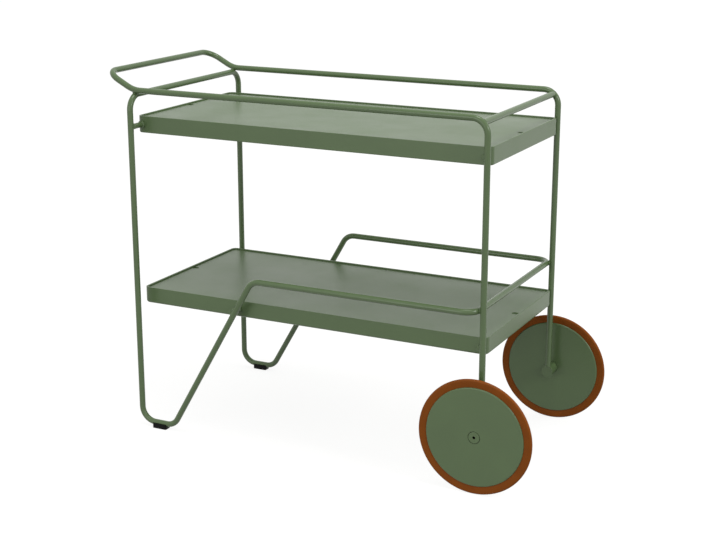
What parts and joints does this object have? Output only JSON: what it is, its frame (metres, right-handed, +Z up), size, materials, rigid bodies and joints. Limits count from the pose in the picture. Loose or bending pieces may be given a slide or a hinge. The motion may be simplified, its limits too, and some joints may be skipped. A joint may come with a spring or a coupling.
{
  "type": "cheese trolley",
  "caption": "Tubular serving trolley: tray shelves with lift-out panels, a push bar at one end, disc wheels under the other and bent-tube feet, for bringing cheese to a table.",
  "frame": {"origin": "on the floor, under the middle of the trolley's bounding box", "axes": "+X along the trolley from the push bar to the wheels, +Y from the near side to the far side in the picture, +Z up"},
  "size_m": [0.928, 0.4418, 0.735],
  "materials": {
    "tube_paint": "grey-green powder coat, satin",
    "tray_paint": "grey-green powder coat, satin",
    "panel_paint": "grey-green powder coat, satin",
    "wheel_paint": "grey-green powder coat, satin",
    "cap_paint": "grey-green powder coat, satin",
    "tyre": "terracotta rubber, dull",
    "black_rubber": "black rubber, dull",
    "steel": "turned steel"
  },
  "bodies": {
    "frame": {"far_axle": "steel", "far_axle_sleeve": "tube_paint", "far_axle_washer": "steel", "far_foot_pad": "black_rubber", "far_loop_side": "tube_paint", "far_rail_leg": "tube_paint", "handle_bar": "tube_paint", "left_crossbar": "tube_paint", "lower_end_rail": "tube_paint", "lower_far_back_spacer": "tube_paint", "lower_far_front_spacer": "tube_paint", "lower_near_back_spacer": "tube_paint", "lower_near_front_spacer": "tube_paint", "lower_tray_pan": "tray_paint", "near_axle": "steel", "near_axle_sleeve": "tube_paint", "near_axle_washer": "steel", "near_foot_pad": "black_rubber", "near_loop_side": "tube_paint", "near_rail_leg": "tube_paint", "top_cross_rail": "tube_paint", "upper_far_back_spacer": "tube_paint", "upper_far_front_spacer": "tube_paint", "upper_near_back_spacer": "tube_paint", "upper_near_front_spacer": "tube_paint", "upper_tray_pan": "tray_paint"},
    "near_wheel": {"near_wheel_bush": "steel", "near_wheel_cap": "cap_paint", "near_wheel_inner_disc": "wheel_paint", "near_wheel_outer_disc": "wheel_paint", "near_wheel_tyre": "tyre"},
    "far_wheel": {"far_wheel_bush": "steel", "far_wheel_cap": "cap_paint", "far_wheel_inner_disc": "wheel_paint", "far_wheel_outer_disc": "wheel_paint", "far_wheel_tyre": "tyre"},
    "upper_panel": {"upper_panel": "panel_paint", "upper_near_rib": "panel_paint", "upper_far_rib": "panel_paint"},
    "lower_panel": {"lower_panel": "panel_paint", "lower_near_rib": "panel_paint", "lower_far_rib": "panel_paint"}
  },
  "joints": [
    {"name": "near_wheel_turn", "type": "hinge", "parent": "frame", "child": "near_wheel", "pos_m": [0.352, -0.2165, 0.112], "axis": [0, 1, 0], "continuous": true},
    {"name": "far_wheel_turn", "type": "hinge", "parent": "frame", "child": "far_wheel", "pos_m": [0.352, 0.2165, 0.112], "axis": [0, 1, 0], "continuous": true},
    {"name": "upper_panel_lift", "type": "slide", "parent": "frame", "child": "upper_panel", "axis": [0, 0, 1], "range_m": [0, 0.03]},
    {"name": "lower_panel_lift", "type": "slide", "parent": "frame", "child": "lower_panel", "axis": [0, 0, 1], "range_m": [0, 0.04]}
  ]
}
